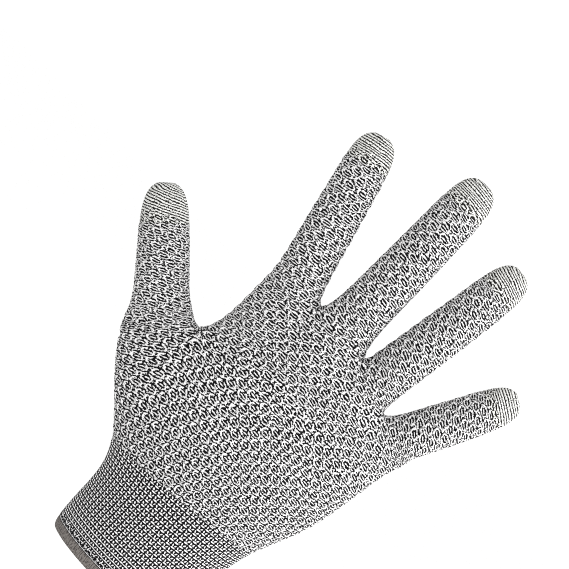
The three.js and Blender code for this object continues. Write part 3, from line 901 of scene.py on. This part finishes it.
def makeCuff(values):
    material, tree, shader = startMaterial("ribKnitGlassYarn")
    flat = addNode(tree, "UVMap", {"uv_map": "knit"}).outputs["UV"]
    repeatsU = values["repeatsRound"] / cells["roundPalm"]
    repeatsV = cells["heightMm"] / values["courseMm"] / values["coursesPerRepeat"]
    repeats = (repeatsU, repeatsV, 1)
    scaled = addNode(tree, "VectorMath", {"operation": "MULTIPLY"}, {0: flat, 1: repeats})
    place = wandered(tree, scaled, values)
    part = addNode(tree, "VectorMath", {"operation": "FRACTION"}, {0: place})
    stitch = addNode(tree, "VectorMath", {"operation": "SUBTRACT"}, {0: part, 1: (0.5, 0.5, 0)})
    tone = values["tone"]
    for stroke in values["strokes"]:
        tone = addStroke(tree, tone, stitch, stroke)
    edge = (0, values["edgeFrom"], 0)
    fromEdge = addNode(tree, "VectorMath", {"operation": "SUBTRACT"}, {0: flat, 1: edge})
    height = addNode(tree, "SeparateXYZ", inputs={"Vector": fromEdge}).outputs["Y"]
    near, far = values["longCells"]
    limits = {"Value": height, "From Min": near, "From Max": far, "To Min": 1.0, "To Max": 0.0}
    share = addNode(tree, "MapRange", inputs=limits)
    long = addStroke(tree, 0.0, stitch, values["longStroke"])
    tone = addNode(tree, "Math", {"operation": "MULTIPLY_ADD"}, {0: long, 1: share, 2: tone})
    around = addNode(tree, "SeparateXYZ", inputs={"Vector": place}).outputs["X"]
    wide = addNode(tree, "Math", {"operation": "MULTIPLY"}, {0: around, 1: 1 / values["edgeRepeats"]})
    across = addNode(tree, "Math", {"operation": "FRACT"}, {0: wide})
    edgeFlat = addNode(tree, "CombineXYZ", inputs={"X": across, "Y": height})
    stretch = {0: edgeFlat, 1: (1, 1 / values["edgeCells"], 0), 2: (-0.5, -0.5, 0)}
    edgePlace = addNode(tree, "VectorMath", {"operation": "MULTIPLY_ADD"}, stretch)
    for stroke in values["edgeStrokes"]:
        tone = addStroke(tree, tone, edgePlace, stroke)
    tone = addBreaks(tree, tone, flat, values)
    knitFinish(tree, shader, tone, values)
    return material


# Hem. The edge is bound by spun polyester thread, sewn over it by an overlock machine: the eye gets a
# dull taupe band of close upright threads, a little thicker than the knit.
hemBinding = dict(
    glassYarn,
    threadMm=1.29,
    reliefMm=0.15,
    darkYarn="#4E4947",
    paleYarn="#817C78",
    tone=0.83,
    courseWidth=0.15,
    courseTone=-0.4,
    wander=[(1.0, (0, 0.08, 0)), (6.0, (0, 0.04, 0))],
    breaks=(9.0, 12.0, 1),
    breakTone=0.45,
)


def makeHem(values):
    # the threads stand upright, so their lines are courses turned on end
    material, tree, shader = startMaterial("overlockThread")
    flat = addNode(tree, "UVMap", {"uv_map": "knit"}).outputs["UV"]
    split = addNode(tree, "SeparateXYZ", inputs={"Vector": flat})
    turned = addNode(tree, "CombineXYZ", inputs={"X": split.outputs["Y"], "Y": split.outputs["X"]})
    tone = plainTone(tree, turned, values["threadMm"] / cells["cuffWidthMm"], values)
    knitFinish(tree, shader, tone, values)
    return material


palmMaterial = makeHoneycomb("tuckKnitGlassYarn", palmKnit)
fingerMaterial = makeHoneycomb("stretchedTuckKnitGlassYarn", fingerKnit)
tipMaterial = makeTip(tipKnit)
cuffMaterial = makeCuff(cuffKnit)
hemMaterial = makeHem(hemBinding)
print("glove: yarns made")

# Pieces. Each takes its own faces of the smoothed net, inside and outside, and a rim that joins them.
outerPairs = KDTree(len(outer["points"]))
for number, point in enumerate(outer["points"]):
    outerPairs.insert(point, number)
outerPairs.balance()


def reliefOf(piece, u, v):
    # height of the knit over its own wall, in millimetres
    if piece == "palm":
        return honeycombHeight(u, v) * smoothStep(v / palmKnit["reliefFade"])
    if piece == "wrist_cuff":
        repeat = u * cuffKnit["repeatsRound"] / cells["roundPalm"]
        return cuffKnit["reliefMm"] * np.cos(2 * np.pi * repeat)
    if piece == "cuff_hem":
        return np.full_like(u, hemBinding["reliefMm"])
    finger = next(f for f in fingers if piece in (f["name"], f["tipName"]))
    if piece == finger["name"]:
        return honeycombHeight(u, v) * smoothStep((finger["plainV"] - v) / fingerKnit["reliefFade"])
    course = v * cells["fingerHeightMm"] / tipKnit["courseMm"]
    return -tipKnit["reliefMm"] * np.cos(2 * np.pi * course)


def openEdges(faces):
    # corner to corner, along the edges that only one face has
    edges = np.concatenate([faces[:, [i, (i + 1) % 4]] for i in range(4)])
    edgeSet = set(map(tuple, edges.tolist()))
    return {a: b for a, b in edgeSet if (b, a) not in edgeSet}


def pieceMesh(name):
    number = pieceNames.index(name)
    own = outer["pieces"] == number
    outerUsed, outerFaces = np.unique(outer["quads"][own], return_inverse=True)
    outerFaces = outerFaces.reshape(-1, 4)
    outerCells = outer["cells"][own]
    place = np.zeros((len(outerUsed), 2))
    place[outerFaces.ravel()] = outerCells.reshape(-1, 2)
    height = reliefOf(name, place[:, 0], place[:, 1]) * mm
    rimNext = openEdges(outerFaces)
    height[list(rimNext)] = 0  # so that pieces meet
    outerPoints = outer["points"][outerUsed] + outer["normals"][outerUsed] * height[:, None]

    innerOwn = inner["pieces"] == number
    innerUsed, innerFaces = np.unique(inner["quads"][innerOwn], return_inverse=True)
    innerFaces = innerFaces.reshape(-1, 4)[:, ::-1]
    innerCells = inner["cells"][innerOwn][:, ::-1]
    innerPoints = inner["points"][innerUsed] - inner["normals"][innerUsed] * net["wallMm"] * mm

    # the rim closes the wall: two fine outer edges meet one inner edge
    localOf = {whole: local for local, whole in enumerate(outerUsed.tolist())}
    partner = {}
    for local, whole in enumerate(innerUsed.tolist()):
        match = outerPairs.find(inner["points"][whole])[1]
        if match in localOf:
            partner[localOf[match]] = local + len(outerUsed)
    cellOf = dict(enumerate(place.tolist()))
    rims = []
    rimCells = []
    for a in rimNext:
        if a in partner:
            between = rimNext[a]
            b = rimNext[between]
            rims.append((b, between, a, partner[a], partner[b]))
            rimCells += [cellOf[b], cellOf[between], cellOf[a], cellOf[a], cellOf[b]]

    faces = outerFaces.tolist() + (innerFaces + len(outerUsed)).tolist() + rims
    mesh = bpy.data.meshes.new(name)
    mesh.from_pydata(np.concatenate([outerPoints, innerPoints]).tolist(), [], faces)
    layer = mesh.uv_layers.new(name="knit")
    cellParts = [outerCells.reshape(-1, 2), innerCells.reshape(-1, 2), np.array(rimCells).reshape(-1, 2)]
    layer.data.foreach_set("uv", np.concatenate(cellParts).astype(np.float32).ravel())
    if name == "palm":
        # the stretched cells get its second material
        middle = outerCells.mean(axis=1)
        stretched = stretchedCells(middle[:, 0], middle[:, 1]).tolist()
        mesh.polygons.foreach_set("material_index", stretched + [False] * (len(faces) - len(stretched)))
    if name.endswith("_tip"):
        plainV = next(finger["plainV"] for finger in fingers if finger["tipName"] == name)
        beyond = mesh.attributes.new("beyondHoneycomb", "FLOAT", "POINT")
        beyond.data.foreach_set("value", (place[:, 1] - plainV).tolist() + [0.0] * len(innerPoints))
    mesh.polygons.foreach_set("use_smooth", [True] * (len(faces) - len(rims)) + [False] * len(rims))
    mesh.update()
    return mesh


finishes = {  # the materials of each piece, and the slot for its finish
    "palm": ([palmMaterial, fingerMaterial], "honeycomb_knit"),
    "wrist_cuff": ([cuffMaterial], "cuff_knit"),
    "cuff_hem": ([hemMaterial], "hem_overlock"),
}
for finger in fingers:
    finishes[finger["name"]] = ([fingerMaterial], "honeycomb_knit")
    finishes[finger["tipName"]] = ([tipMaterial], "fingertip_knit")
for pieceName in pieceNames:
    item = bpy.data.objects.new("knit_" + pieceName, pieceMesh(pieceName))
    bpy.context.scene.collection.objects.link(item)
    pieceMaterials, slotName = finishes[pieceName]
    for material in pieceMaterials:
        item.data.materials.append(material)
    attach(item, "root")
    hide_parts(pieceName)
    print("glove:", pieceName, len(item.data.polygons))
